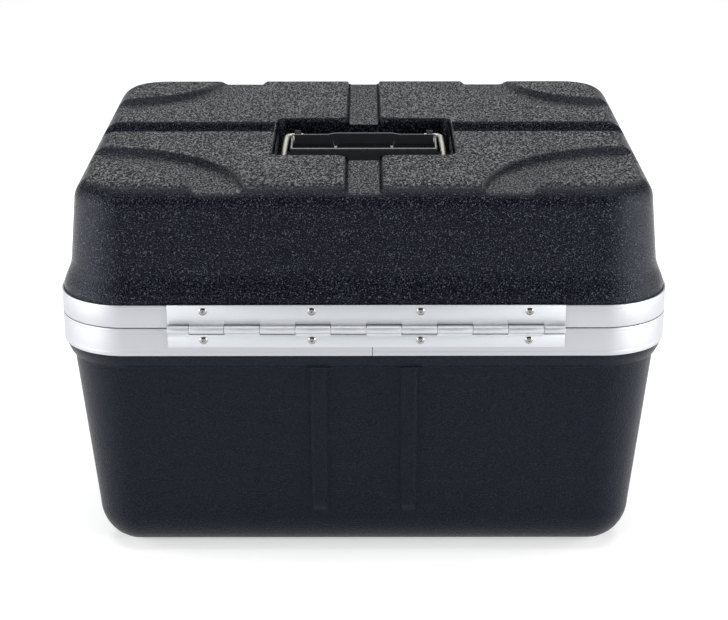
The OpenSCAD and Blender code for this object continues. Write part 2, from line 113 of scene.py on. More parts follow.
FRAME_HIGH = mm_box("lid_frame")[1]
HALF_W, HALF_D = FRAME_HIGH[:2]
LID_FRAME_TOP = FRAME_HIGH[2]
LID_TOP = mm_box("lid_shell")[1][2]
LID_RIM_Z = mm_box("lid_shell")[0][2]
TUB_RIM_Z = mm_box("base_shell")[1][2]
TUB_FRAME_Z = mm_box("base_frame")[0][2]
SHOULDER_Z = TUB_FRAME_Z - 0.2  # top of the tub's shoulder, just under the frame
HINGE_Y, PARTING_Z = joint_point("lid_hinge")[1:]
GRIP_HALF_L, GRIP_FAR_Y, GRIP_FAR_Z = mm_box("handle_grip")[1]
GRIP_NEAR_Y, GRIP_NEAR_Z, GRIP_FLOOR_Z = GRIP_FAR_Y - 32.0, GRIP_FAR_Z - 6.0, GRIP_FAR_Z - 23.0
GRIP_WEB_X = 26.0  # the two webs across the grip's trough
HINGE_X = (mm_box("hinge_pin")[0][0] + mm_box("hinge_pin")[1][0]) / 2


# ---------- small tools ----------


def smooth(t):
    """0 below 0, 1 above 1, and an even S between."""
    t = np.clip(t, 0.0, 1.0)
    return t * t * (3 - 2 * t)


def soft_min(a, b, k):
    """The smaller of two values, with the step between them rounded over a reach of k."""
    h = np.clip(0.5 + 0.5 * (b - a) / k, 0, 1)
    return b * (1 - h) + a * h - k * h * (1 - h)


def graded(start, stop, step, features):
    """Positions from start to stop, a step apart, closer near each feature (place, reach, fine step)."""
    places, at = [start], start
    while at < stop:
        local = step
        for place, reach, fine in features:
            away = max(0.0, abs(at - place) - reach)
            local = min(local, fine + 0.35 * away)
        at = at + local
        places.append(min(at, stop))
    if places[-1] - places[-2] < 0.2 * step:
        del places[-2]
    return np.array(places)


def mirrored(half):
    """Positions from 0 outwards, and the same on the negative side."""
    return np.concatenate([-half[::-1][:-1], half])


def make_object(name, verts, faces, material, body, replaced, sharp=40.0):
    """A mesh object from vertices in millimetres, riding on a CAD body in place of CAD nodes."""
    mesh = bpy.data.meshes.new(name)
    mesh.from_pydata([tuple(v) for v in np.asarray(verts) * MM], [], faces)
    mesh.update()
    mesh.polygons.foreach_set("use_smooth", [True] * len(mesh.polygons))
    mesh.set_sharp_from_angle(angle=math.radians(sharp))
    mesh.materials.append(material)
    obj = bpy.data.objects.new(name, mesh)
    bpy.context.scene.collection.objects.link(obj)
    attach(obj, body)
    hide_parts(*replaced)


class Pile:
    """Vertices and faces of several closed forms, gathered into one piece."""

    def __init__(self):
        self.verts = []
        self.faces = []

    def add(self, verts, faces):
        base = len(self.verts)
        self.verts += [tuple(v) for v in verts]
        self.faces += [tuple(base + i for i in f) for f in faces]


def tube_faces(rings, around):
    """Quads between rings of points, all with the same count, with capped ends."""
    faces = []
    for k in range(rings - 1):
        a, b = k * around, (k + 1) * around
        for i in range(around):
            j = (i + 1) % around
            faces.append((a + i, a + j, b + j, b + i))
    faces.append(tuple(reversed(range(around))))
    faces.append(tuple((rings - 1) * around + i for i in range(around)))
    return faces


def lathe(profile, axis_point, axis, around=32):
    """A turned solid: profile holds (radius, height) from bottom to top along axis."""
    turn = Vector((0, 0, 1)).rotation_difference(Vector(axis)).to_matrix()
    verts = []
    for radius, height in profile:
        for i in range(around):
            a = 2 * math.pi * i / around
            point = Vector((radius * math.cos(a), radius * math.sin(a), height))
            verts.append(turn @ point + Vector(axis_point))
    return verts, tube_faces(len(profile), around)


def bevelled_slab(low, high, bevel):
    """A box with all its edges chamfered in two steps: three rings near each end."""
    verts = []
    mid = 0.3 * bevel
    levels = [(low[2], bevel), (low[2] + mid, mid), (low[2] + bevel, 0.0),
              (high[2] - bevel, 0.0), (high[2] - mid, mid), (high[2], bevel)]
    for z, inset in levels:
        x0, y0, x1, y1 = low[0] + inset, low[1] + inset, high[0] - inset, high[1] - inset
        ring = [(x0 + bevel, y0), (x1 - bevel, y0), (x1 - mid, y0 + mid), (x1, y0 + bevel),
                (x1, y1 - bevel), (x1 - mid, y1 - mid), (x1 - bevel, y1), (x0 + bevel, y1),
                (x0 + mid, y1 - mid), (x0, y1 - bevel), (x0, y0 + bevel), (x0 + mid, y0 + mid)]
        verts += [(x, y, z) for x, y in ring]
    return verts, tube_faces(len(levels), len(ring))


# ---------- materials ----------


def new_material(name, **values):
    """A principled material; values are set on the shader's own sockets."""
    material = bpy.data.materials.new(name)
    material.use_nodes = True
    tree = material.node_tree
    shader = tree.nodes["Principled BSDF"]
    for socket, value in values.items():
        shader.inputs[socket.replace("_", " ")].default_value = value
    return material, tree, shader


def add_node(tree, kind, **values):
    """A new node; each value goes to the input of that name, or else to the node's own setting."""
    node = tree.nodes.new(kind)
    for key, value in values.items():
        if key in node.inputs:
            node.inputs[key].default_value = value
        else:
            setattr(node, key, value)
    return node


def object_coords(tree, scale=(1, 1, 1)):
    """The piece's own coordinates, in metres, multiplied by scale."""
    coords = add_node(tree, "ShaderNodeTexCoord")
    mapping = add_node(tree, "ShaderNodeMapping")
    mapping.inputs["Scale"].default_value = scale
    tree.links.new(coords.outputs["Object"], mapping.inputs["Vector"])
    return mapping.outputs["Vector"]


def ramp(tree, source, stops):
    """A colour ramp; stops hold (place, colour) in rising order."""
    node = add_node(tree, "ShaderNodeValToRGB")
    elements = node.color_ramp.elements
    while len(elements) < len(stops):
        elements.new(0.5)
    for element, (place, colour) in zip(elements, stops):
        element.position = place
        element.color = (*colour, 1)
    tree.links.new(source, node.inputs["Fac"])
    return node.outputs["Color"]


def grey(v):
    return (v, v, v)


def bump_to(tree, shader, height, strength, depth):
    """Relief of a depth in millimetres."""
    bump = add_node(tree, "ShaderNodeBump", Strength=strength, Distance=depth * MM)
    tree.links.new(height, bump.inputs["Height"])
    tree.links.new(bump.outputs["Normal"], shader.inputs["Normal"])


def mixed(tree, factor, first, second, kind="FLOAT"):
    """Two values or colours blended by a factor."""
    node = add_node(tree, "ShaderNodeMix", data_type=kind)
    ends = (0, 2, 3, 0) if kind == "FLOAT" else (0, 6, 7, 2)
    for socket, source in zip(ends, (factor, first, second)):
        tree.links.new(source, node.inputs[socket])
    return node.outputs[ends[3]]


def pebbles(tree, pebble, stretch):
    """Height of a pebbled grain; pebble is its size in millimetres, drawn out stretch times along Y."""
    grain = add_node(tree, "ShaderNodeTexNoise", Scale=1 / (pebble * MM), Detail=1.5, Roughness=0.55)
    tree.links.new(object_coords(tree, (1, 1 / stretch, 1)), grain.inputs["Vector"])
    return grain.outputs["Fac"]


def upward(tree, start, stop):
    """0 on walls and 1 on faces that look up in the part's own frame."""
    coords = add_node(tree, "ShaderNodeTexCoord")
    parts = add_node(tree, "ShaderNodeSeparateXYZ")
    tree.links.new(coords.outputs["Normal"], parts.inputs["Vector"])
    return ramp(tree, parts.outputs["Z"], [(start, grey(0)), (stop, grey(1))])


def scaled(stops, tint):
    """Ramp stops of a tint at several levels; the brighter ones turn grey, as painted white glints on the
    grain's tips.
    """
    made = []
    for place, level in stops:
        pale = min(0.65, level / 8)
        made.append((place, tuple(level * (c + (sum(tint) / 3 - c) * pale) for c in tint)))
    return made


def abs_material(name, pebble, depth, tint, stops, gloss, rough, sheen, flat=None):
    """Moulded ABS with a pebbled grain.

    pebble is the grain's size and depth its relief, in millimetres. stops hold (height, brightness) of the
    grain, whose hollows are painted darker as painted shade and whose tips are painted lighter as painted
    glints; rough is its roughness in the hollows and on the tips, and gloss and sheen the reflection's level
    and tint. flat holds (pebble, stretch, depth share, tint, stops, rough) for the faces that look up; their
    tint and stops paint those faces lighter, as a painted sheen with painted glints.
    """
    material, tree, shader = new_material(name, Specular_IOR_Level=gloss, Specular_Tint=(*sheen, 1))

    def worn(height, hollow, tip):
        return ramp(tree, height, [(0.38, grey(hollow)), (0.64, grey(tip))])

    height = pebbles(tree, pebble, 1.0)
    # The grain's colour: darker hollows as painted shade, lighter tips as painted glints
    colour, spread = ramp(tree, height, scaled(stops, tint)), worn(height, *rough)
    if flat:
        size, stretch, share, flat_sheen_tint, flat_glint_stops, flat_rough = flat
        # Faces that look up get a colour painted lighter, a painted sheen with painted glints; their grain,
        # roughness and relief are their own
        up = upward(tree, 0.84, 0.97)
        top = pebbles(tree, size, stretch)
        colour = mixed(tree, up, colour, ramp(tree, top, scaled(flat_glint_stops, flat_sheen_tint)), "RGBA")
        spread = mixed(tree, up, spread, worn(top, *flat_rough), "RGBA")
        lower = add_node(tree, "ShaderNodeMath", operation="MULTIPLY")
        tree.links.new(top, lower.inputs[0])
        lower.inputs[1].default_value = share
        height = mixed(tree, up, height, lower.outputs["Value"])
    bump_to(tree, shader, height, 1.0, depth)
    tree.links.new(colour, shader.inputs["Base Color"])
    tree.links.new(spread, shader.inputs["Roughness"])
    return material


def aluminium_material(name, tint, roughness, contrast):
    """Satin anodised aluminium, drawn in fine level lines; the darkest is contrast times the tint."""
    material, tree, shader = new_material(name, Metallic=1.0)
    coords = object_coords(tree, (6, 6, 900))
    lines = add_node(tree, "ShaderNodeTexNoise", Scale=1.0, Detail=2.0, Roughness=0.6)
    tree.links.new(coords, lines.inputs["Vector"])
    bump_to(tree, shader, lines.outputs["Fac"], 0.35, 0.06)
    dark = tuple(contrast * c for c in tint)
    colour = ramp(tree, lines.outputs["Fac"], [(0.3, dark), (0.7, tint)])
    tree.links.new(colour, shader.inputs["Base Color"])
    spread = [(0.3, grey(roughness - 0.06)), (0.7, grey(roughness + 0.06))]
    rough = ramp(tree, lines.outputs["Fac"], spread)
    tree.links.new(rough, shader.inputs["Roughness"])
    return material


def metal_material(name, tint, roughness, grain):
    """Plated steel, lightly mottled; grain is the mottle's size in millimetres."""
    material, tree, shader = new_material(name, Metallic=1.0)
    coords = object_coords(tree)
    mottle = add_node(tree, "ShaderNodeTexNoise", Scale=1 / (grain * MM), Detail=4.0, Roughness=0.6)
    tree.links.new(coords, mottle.inputs["Vector"])
    dark = tuple(0.86 * c for c in tint)
    colour = ramp(tree, mottle.outputs["Fac"], [(0.35, dark), (0.65, tint)])
    tree.links.new(colour, shader.inputs["Base Color"])
    rough = ramp(tree, mottle.outputs["Fac"], [(0.3, grey(roughness)), (0.7, grey(roughness + 0.1))])
    tree.links.new(rough, shader.inputs["Roughness"])
    bump_to(tree, shader, mottle.outputs["Fac"], 0.15, 0.04)
    return material


def polymer_material(name, dark, light, roughness, grain, depth, gloss=0.5):
    """Plain moulded rubber or plastic with a faint texture; grain and depth are in millimetres."""
    material, tree, shader = new_material(name, Specular_IOR_Level=gloss)
    coords = object_coords(tree)
    texture = add_node(tree, "ShaderNodeTexNoise", Scale=1 / (grain * MM), Detail=3.0)
    tree.links.new(coords, texture.inputs["Vector"])
    colour = ramp(tree, texture.outputs["Fac"], [(0.35, dark), (0.65, light)])
    tree.links.new(colour, shader.inputs["Base Color"])
    rough = ramp(tree, texture.outputs["Fac"], [(0.3, grey(roughness)), (0.7, grey(roughness * 1.3))])
    tree.links.new(rough, shader.inputs["Roughness"])
    bump_to(tree, shader, texture.outputs["Fac"], 0.3, depth)
    return material


# The lid's top has a coarser grain, duller in the hollows and drawn out from front to back. Its colour is
# painted about ten times lighter than the walls' as a painted sheen on faces that look up, and its brightest
# grain tips are painted glints
LID_TOP_GRAIN_AND_SHEEN = (1.6, 2.0, 1.3, (0.0130, 0.0135, 0.0152),
                 [(0.34, 0.1), (0.45, 0.3), (0.56, 1.5), (0.64, 7.5)], (0.80, 0.20))
# The stops' low levels paint the grain's hollows darker as painted shade and the high ones paint its tips
# lighter as painted glints: up to 26 times on the lid, milder (2.2) on the tub
LID_ABS = abs_material("lid_abs", 1.15, 0.80, (0.0013, 0.0018, 0.0044),
                       [(0.38, 0.2), (0.53, 0.5), (0.61, 4.5), (0.69, 26.0)],
                       0.17, (0.28, 0.16), (0.75, 0.82, 1.0), LID_TOP_GRAIN_AND_SHEEN)
TUB_ABS = abs_material("tub_abs", 1.1, 0.7, (0.0039, 0.0056, 0.0102),
                       [(0.34, 0.5), (0.50, 0.9), (0.66, 2.2)],
                       0.20, (0.40, 0.30), (0.31, 0.345, 0.42))
FRAME_METAL = aluminium_material("frame_aluminium", (0.470, 0.478, 0.502), 0.54, 0.92)
HINGE_METAL = aluminium_material("hinge_aluminium", (0.530, 0.543, 0.563), 0.56, 0.98)
RIVET_METAL = metal_material("rivet_steel", (0.32, 0.31, 0.30), 0.1, 1.2)
BLACK_STEEL = metal_material("black_steel", (0.018, 0.018, 0.019), 0.42, 2.0)
PLATED = metal_material("plated_steel", (0.62, 0.62, 0.61), 0.26, 2.5)
WIRE = metal_material("nickel_wire", (0.60, 0.58, 0.52), 0.42, 3.0)
SEAL = polymer_material("seal_rubber", (0.012, 0.012, 0.012), (0.02, 0.02, 0.02), 0.6, 0.8, 0.05)
GLOSS = polymer_material("grip_gloss", (0.003, 0.0035, 0.0045), (0.005, 0.0055, 0.007),
                         0.13, 4.0, 0.02, 1.0)


# ---------- shells ----------


def outline(half_x, half_y, r):
    """A rounded rectangle's points, anticlockwise."""
    points = []
    for sx, sy, start in [(1, -1, -90), (1, 1, 0), (-1, 1, 90), (-1, -1, 180)]:
        for i in range(OUTLINE_STEPS + 1):
            a = math.radians(start + 90 * i / OUTLINE_STEPS)
            points.append((sx * (half_x - r) + r * math.cos(a), sy * (half_y - r) + r * math.sin(a)))
    return points


def corner_angle(a, b):
    """The direction, from 0 to a right angle, that a point of a square corner takes on its round one."""
    big = np.maximum(np.maximum(a, b), 1e-9)
    return np.where(a >= b, math.pi / 4 * b / big, math.pi / 2 - math.pi / 4 * a / big)


def round_corners(x, y, cx, cy, r, fade):
    """Bends a square grid round the corners at (cx, cy); beyond radius r it fades back to square."""
    a, b = np.abs(x) - cx, np.abs(y) - cy
    inside = (a > 0) & (b > 0)
    reach = np.maximum(a, b)
    angle = corner_angle(a, b)
    back = smooth((reach - r) / fade) if fade else 0.0
    bent_x = np.sign(x) * (cx + reach * np.cos(angle))
    bent_y = np.sign(y) * (cy + reach * np.sin(angle))
    return (np.where(inside, bent_x * (1 - back) + x * back, x),
            np.where(inside, bent_y * (1 - back) + y * back, y))


class Shell:
    """A moulded shell: a relief-carved cap, walls of many levels, and the same again inside.

    up is 1 for the lid and -1 for the tub, cap_z the cap's height and edge_r the rounding of its edge.
    inset(z), relief(x, y, grow) and rib(x, z, grow) are functions, levels the heights of the walls' rings,
    xs and ys the cap's grid lines, and pocket says whether the grid bends round the handle pocket.
    """

    def __init__(self, up, cap_z, edge_r, inset, levels, relief, rib, xs, ys, pocket):
        self.up, self.cap_z, self.edge_r = up, cap_z, edge_r
        self.inset, self.levels, self.relief, self.rib = inset, levels, relief, rib
        self.xs, self.ys, self.pocket = xs, ys, pocket

    def size(self, z, grow):
        """Half width, half depth and plan radius at a height; grow moves the outline inwards."""
        ix, iy = self.inset(z)
        return (HALF_W - ix - grow, HALF_D - iy - grow, CORNER_R - (ix + iy) / 2 - grow)

    def cap(self, grow):
        """The cap's grid of points."""
        edge_z = self.cap_z - self.up * self.edge_r
        half_x, half_y, r = self.size(edge_z, grow)
        outer_x, outer_y, _ = self.size(edge_z, 0)
        x, y = np.meshgrid(self.xs * half_x / outer_x, self.ys * half_y / outer_y, indexing="ij")
        cx, cy = half_x - r, half_y - r
        away = r - np.maximum(np.abs(x) - cx, np.abs(y) - cy)
        x, y = round_corners(x, y, cx, cy, r, fade=0)
        edge = self.edge_r - grow
        fall = np.where(away < edge, edge - np.sqrt(np.maximum(0, edge**2 - (edge - away) ** 2)), 0)
        if self.pocket:
            core_x, core_y = POCKET_X - POCKET_R, POCKET_HALF_Y - POCKET_R
            x, y = round_corners(x, y - POCKET_MID_Y, core_x, core_y, r=POCKET_R + 3, fade=14)
            y = y + POCKET_MID_Y
        sunk = self.relief(x, y, grow)
        drop = -soft_min(-fall, -sunk, 1.2) if grow == 0 else np.maximum(fall, sunk)
        return x, y, self.cap_z - self.up * (grow + drop)

    def wall(self, z, grow):
        """The ring of points at one height, in the order of the cap's rim."""
        edge_z = self.cap_z - self.up * self.edge_r
        half_x, half_y, r = self.size(z, grow)
        rim_x, rim_y, rim_r = self.size(edge_z, 0)
        cx, cy = rim_x - rim_r, rim_y - rim_r
        ring = []
        for x, y in self.rim_places():
            a, b = abs(x) - cx, abs(y) - cy
            sx, sy = math.copysign(1, x), math.copysign(1, y)
            if a > 0 and b > 0:
                angle = float(corner_angle(a, b))
                px, py = half_x - r + r * math.cos(angle), half_y - r + r * math.sin(angle)
                ring.append((sx * px, sy * py, z))
            elif b > 0:
                px = x * (half_x - r) / cx
                ring.append((px, sy * (half_y + self.rib(px, z, grow)), z))
            else:
                ring.append((sx * half_x, y * (half_y - r) / cy, z))
        return ring

    def rim_places(self):
        """The cap's border points, once round."""
        return [(self.xs[i], self.ys[j]) for i, j in self.rim_indices()]

    def rim_indices(self):
        """The grid indices of the cap's border, once round."""
        nx, ny = len(self.xs), len(self.ys)
        return ([(i, 0) for i in range(nx)] + [(nx - 1, j) for j in range(1, ny)]
                + [(i, ny - 1) for i in range(nx - 2, -1, -1)] + [(0, j) for j in range(ny - 2, 0, -1)])

    def side(self, grow):
        """Points and faces of the outer (grow 0) or inner side, and the indices of its last ring."""
        nx, ny = len(self.xs), len(self.ys)
        x, y, z = self.cap(grow)
        verts = np.stack([x, y, z], axis=-1).reshape(-1, 3).tolist()
        faces = [(i * ny + j, (i + 1) * ny + j, (i + 1) * ny + j + 1, i * ny + j + 1)
                 for i in range(nx - 1) for j in range(ny - 1)]
        previous = [i * ny + j for i, j in self.rim_indices()]
        count = len(previous)
        for level in self.levels:
            start = len(verts)
            verts += self.wall(level, grow)
            for i in range(count):
                k = (i + 1) % count
                faces.append((previous[i], start + i, start + k, previous[k]))
            previous = list(range(start, start + count))
        return verts, faces, previous

    def build(self):
        """Vertices and faces of both sides, joined round the rim."""
        outer, outer_faces, outer_rim = self.side(0)
        inner, inner_faces, inner_rim = self.side(WALL)
        base = len(outer)
        faces = outer_faces + [tuple(base + i for i in reversed(f)) for f in inner_faces]
        count = len(outer_rim)
        for i in range(count):
            k = (i + 1) % count
            faces.append((outer_rim[i], base + inner_rim[i], base + inner_rim[k], outer_rim[k]))
        if self.up < 0:
            faces = [tuple(reversed(f)) for f in faces]
        return outer + inner, faces


def lid_inset(z):
    """How far the lid's side and end walls lie inside the frames' outline at a height."""
    above = LID_FRAME_TOP + 0.7
    flare = LID_RIM_INSET + LID_FLARE[1] * float(smooth((z - above) / LID_FLARE[0]))
    rise = max(0.0, z - LID_FRAME_TOP - LID_DRAFT_FROM)
    return tuple(flare + rise * math.tan(math.radians(d)) for d in LID_DRAFT)


def tub_inset(z):
    """How far the tub's side and end walls lie inside the frames' outline at a height."""
    if z > SHOULDER_Z:
        return TUB_RIM_INSET, TUB_RIM_INSET
    down = SHOULDER_Z - z
    shoulder = TUB_BAND[0] + (TUB_BAND[1] - TUB_BAND[0]) * min(1.0, down / TUB_BAND[2]) ** 1.4
    step = (TUB_PANEL_INSET - TUB_BAND[1]) * float(smooth((down - TUB_BAND[2]) / 1.6))
    drop = max(0.0, down - TUB_BAND[2])
    return tuple(shoulder + step + drop * math.tan(math.radians(d)) for d in TUB_DRAFT)


def trench(away, width, depth):
    """Depth of a channel's wall: 0 where away is 0, and full depth a width further in."""
    return depth * smooth(away / width)


def corner_channels(x, y, grow):
    """How far inside the curved corner channels a place lies."""
    cx, cy, r_in, r_out, _ = CORNER_CHANNEL
    r = np.hypot(np.abs(x) - cx, np.abs(y) - cy)
    return np.minimum(r - (r_in - grow), (r_out + grow) - r)


def lid_relief(x, y, grow):
    """How far the lid's top is sunk at a place; grow gives the inside's fuller form."""
    half_top, half_floor = GROOVE[1] / 2 + grow, GROOVE[0] / 2 + grow
    depth = trench(half_top - np.abs(x), half_top - half_floor, GROOVE[2])
    depth = np.maximum(depth, trench(corner_channels(x, y, grow), CORNER_WALL, CORNER_CHANNEL[4]))
    across = np.minimum(y - (CROSS_Y[0] - grow), (CROSS_Y[1] + grow) - y)
    across = np.minimum(across, np.abs(x) - (POCKET_X + CROSS_STOP - grow))
    depth = np.maximum(depth, trench(across, CROSS_WALL, CROSS_DEPTH))
    a = np.abs(x) - (POCKET_X - POCKET_R)
    b = np.abs(y - POCKET_MID_Y) - (POCKET_HALF_Y - POCKET_R)
    corner = np.hypot(np.maximum(a, 0), np.maximum(b, 0))
    beyond = np.where((a > 0) | (b > 0), corner, np.maximum(a, b)) - POCKET_R - grow
    # Round off the plateaus' corners between the centre groove and the pocket
    beside, off = np.abs(x) - half_top, beyond - 1.4
    within = PLATEAU_R - np.hypot(np.maximum(PLATEAU_R - beside, 0), np.maximum(PLATEAU_R - off, 0))
    depth = np.maximum(depth, trench(1.2 - within, 2.6, GROOVE[2]) * ((beside > -1) & (off > -1)))
    return np.maximum(depth, pocket_drop(-beyond))


def pocket_drop(inward):
    """Profile of the pocket's wall: a rounded lip, a drafted wall and a filleted floor."""
    places = [-2.2, -1.4, -0.7, -0.2, 0.3, 1.9, 2.6, 4.2, 6.5]
    depths = [0, 0.25, 0.9, 1.8, 3.2] + [POCKET_DEPTH - rise for rise in (4.5, 2.2, 0.5, 0)]
    return np.interp(inward, places, depths)


def tub_relief(x, y, grow):
    """Shallow grooves under the tub, leaving standing pads."""
    depth = trench(GROOVE[1] / 2 + grow - np.abs(x), 3.0, FOOT_RELIEF)
    depth = np.maximum(depth, trench(FOOT_CROSS + grow - np.abs(y), 4.0, FOOT_RELIEF))
    return np.maximum(depth, trench(corner_channels(x, y, grow), 5.0, FOOT_RELIEF))


def tub_rib(x, z, grow):
    """How far the two ribs of each end wall stand out; their upper ends widen round the panels' corners."""
    if grow:
        return 0.0
    beside = abs(abs(x) - RIB_X) - RIB_W / 2
    below = SHOULDER_Z - TUB_BAND[2] - 1.0 - z
    away = PANEL_R - math.hypot(max(0.0, PANEL_R - beside), max(0.0, PANEL_R - below))
    height = float(smooth((1.5 - away) / RIB_FLANK) * smooth((z - TUB_EDGE_R - 2) / 10))
    return RIB_H * height * float(smooth((below + 1.0) / 1.2))


def no_rib(x, z, grow):
    """The lid's walls have no ribs."""
    return 0.0


def shell_lines(half, edge_r, step, features):
    """Grid lines of a cap along one direction: round the edge by angle, then graded to the middle."""
    edge = [half - edge_r * (1 - math.cos(math.radians(a))) for a in (0, 8, 18, 28, 38, 48, 58, 68, 79)]
    return graded(0.0, half - edge_r, step, features), np.array(edge[::-1])


def lid_lines():
    """The lid's grid lines, closer along the channels' and the pocket's edges."""
    inset = lid_inset(LID_TOP - LID_EDGE_R)
    half_x, half_y = HALF_W - inset[0], HALF_D - inset[1]
    inner, edge = shell_lines(half_x, LID_EDGE_R, 2.4, [(14, 2, 0.8), (POCKET_X + 1, 4.5, 0.75)])
    xs = mirrored(np.concatenate([inner, edge]))
    near, edge_y = shell_lines(half_y, LID_EDGE_R, 2.4, [(-POCKET_Y[0], 4.5, 0.75), (12, 4, 1.0)])
    far, _ = shell_lines(half_y, LID_EDGE_R, 2.4, [(POCKET_Y[1], 4.5, 0.75), (19, 4, 1.0)])
    ys = np.concatenate([-edge_y[::-1], -near[::-1][:-1], far, edge_y])
    return xs, ys


def tub_lines():
    """The tub's grid lines, closer along the grooves' edges and the ribs."""
    inset = tub_inset(TUB_EDGE_R)
    half_x, half_y = HALF_W - inset[0], HALF_D - inset[1]
    inner, edge = shell_lines(half_x, TUB_EDGE_R, 4.0, [(14, 2, 1.2), (RIB_X, 8, 0.8)])
    near, edge_y = shell_lines(half_y, TUB_EDGE_R, 4.0, [(17, 2, 1.2)])
    return mirrored(np.concatenate([inner, edge])), mirrored(np.concatenate([near, edge_y]))


def make_lid_shell():
    xs, ys = lid_lines()
    levels = list(np.linspace(LID_TOP - LID_EDGE_R - 4, LID_FRAME_TOP + 28, 9))
    levels += list(np.linspace(LID_FRAME_TOP + 25, LID_FRAME_TOP, 12)) + [LID_RIM_Z]
    shell = Shell(1, LID_TOP, LID_EDGE_R, lid_inset, levels, lid_relief, no_rib, xs, ys, True)
    verts, faces = shell.build()
    make_object("lid_shell_moulding", verts, faces, LID_ABS, "lid", ["lid_shell"], 60)


def make_tub_shell():
    xs, ys = tub_lines()
    levels = list(np.linspace(TUB_EDGE_R + 1, TUB_EDGE_R + 14, 8))
    levels += list(np.linspace(TUB_EDGE_R + 22, TUB_FRAME_Z - 26, 10))
    levels += list(np.arange(TUB_FRAME_Z - 24.5, TUB_FRAME_Z - 0.5, 0.8))
    levels += [SHOULDER_Z, SHOULDER_Z + 0.01, TUB_RIM_Z]
    shell = Shell(-1, 0.0, TUB_EDGE_R, tub_inset, levels, tub_relief, tub_rib, xs, ys, False)
    verts, faces = shell.build()
    make_object("tub_shell_moulding", verts, faces, TUB_ABS, "base", ["base_shell"], 60)


# ---------- closure frames, seal and hinge ----------


def seam_path(inset, gap):
    """Outline points from one side of a seam at the rear, once round the case, to its other side."""
    ring = outline(HALF_W - inset, HALF_D - inset, CORNER_R - inset)
    if not gap:
        return ring
    return [(SEAM_X + gap, -HALF_D + inset)] + ring + [(SEAM_X, -HALF_D + inset)]


def sweep_section(section, gap=0.0):
    """A closed section of (inset, height) points swept round the case's outline."""
    verts = []
    for inset, z in section:
        path = seam_path(inset, gap)
        verts += [(x, y, z) for x, y in path]
    along, count = len(path), len(section)
    turns = along - 1 if gap else along
    faces = []
    for k in range(count):
        a, b = k * along, ((k + 1) % count) * along
        for i in range(turns):
            j = (i + 1) % along
            faces.append((a + i, b + i, b + j, a + j))
    if gap:
        faces.append(tuple(k * along for k in range(count)))
        faces.append(tuple(k * along + along - 1 for k in reversed(range(count))))
    return verts, faces


def rounded(section, r=0.35):
    """The section with each corner replaced by a small three-point round."""
    made = []
    count = len(section)
    for i, here in enumerate(section):
        here = np.array(here, float)
        before = np.array(section[i - 1], float) - here
        after = np.array(section[(i + 1) % count], float) - here
        cut = min(r, 0.45 * np.linalg.norm(before), 0.45 * np.linalg.norm(after))
        a = here + before / np.linalg.norm(before) * cut
        b = here + after / np.linalg.norm(after) * cut
        made += [tuple(a), tuple((a + b) / 2 * 0.55 + here * 0.45), tuple(b)]
    return made


def scored(z):
    """A shallow groove drawn along the outer face of a frame, listed upwards."""
    return [(0, z - 0.35), (0.1, z), (0, z + 0.35)]


def make_frames():
    """The two extrusions, as closed sections of (inset, height) that follow those of the CAD model."""
    low, high = mm_box("base_frame")
    z0, z1 = low[2], high[2]
    top = z1 - 0.25
    base = ([(0, z0)] + scored(z0 + 4.2) + scored(z1 - 3.4)
            + [(0, top), (8, top), (8, z1 - 3.45), (12.8, z1 - 3.45), (12.8, z1), (14, z1),
               (14, z1 - 4.95), (7.9, z1 - 4.95), (7.9, z0 + 6), (6.6, z0 + 6), (6.6, z1 - 1.5),
               (1.2, z1 - 1.5), (1.2, z0 + 2), (3, z0 + 2), (3, z0)])
    verts, faces = sweep_section(rounded(base), SEAM_GAP)
    make_object("base_frame_section", verts, faces, FRAME_METAL, "base", ["base_frame"])
    z0, z1 = PARTING_Z + 0.4, LID_FRAME_TOP
    lid = ([(0, z0)] + scored(z1 - 3.4)
           + [(0, z1), (1.6, z1), (1.6, z1 - 2), (1.2, z1 - 2), (1.2, z0 + 1.5), (5.2, z0 + 1.5),
              (5.2, z1 - 1), (6.5, z1 - 1), (6.5, z0 + 1.5), (12.5, z0 + 1.5), (12.5, z0),
              (11.2, z0), (11.2, z0 - 1.4), (9.6, z0 - 1.4), (9.6, z0)])
    verts, faces = sweep_section(rounded(lid))
    make_object("lid_frame_section", verts, faces, FRAME_METAL, "lid", ["lid_frame"])


def knuckle_spans(first):
    """The left and right ends of every second knuckle."""
    low, high = mm_box("hinge_pin")
    end = (high[0] - low[0] - KNUCKLES * KNUCKLE_L) / 2
    cuts = [low[0]] + [low[0] + end + i * KNUCKLE_L for i in range(KNUCKLES + 1)] + [high[0]]
    return [(cuts[i] + KNUCKLE_GAP / 2, cuts[i + 1] - KNUCKLE_GAP / 2)
            for i in range(first, KNUCKLES + 2, 2)]


def curl_section(up):
    """A knuckle's section in (y, z): the sheet runs down the frame and curls round the pin."""
    def arc(r, degrees):
        return [(HINGE_Y + r * math.cos(math.radians(d)), PARTING_Z + up * r * math.sin(math.radians(d)))
                for d in degrees]
    back_y, face_y = -HALF_D - FRAME_GAP, -HALF_D - LEAF_T
    sheet = [(back_y, PARTING_Z + up * CURL_TOP), (face_y, PARTING_Z + up * CURL_TOP),
             (face_y - 0.05, PARTING_Z + up * 3.6)]
    return (sheet + arc(KNUCKLE_D / 2, range(48, 361, 8)) + arc(KNUCKLE_D / 2 - CURL_T, range(360, 25, -10))
            + [(back_y, PARTING_Z + up * 1.0)])


def prism_x(section, x0, x1, chamfer=0.3):
    """A section in (y, z) stretched along X, its ends drawn in a little."""
    middle = np.mean(np.array(section), axis=0)
    verts = []
    for x, shrink in [(x0, 0.97), (x0 + chamfer, 1.0), (x1 - chamfer, 1.0), (x1, 0.97)]:
        verts += [(x, middle[0] + (y - middle[0]) * shrink, middle[1] + (z - middle[1]) * shrink)
                  for y, z in section]
    return verts, tube_faces(4, len(section))


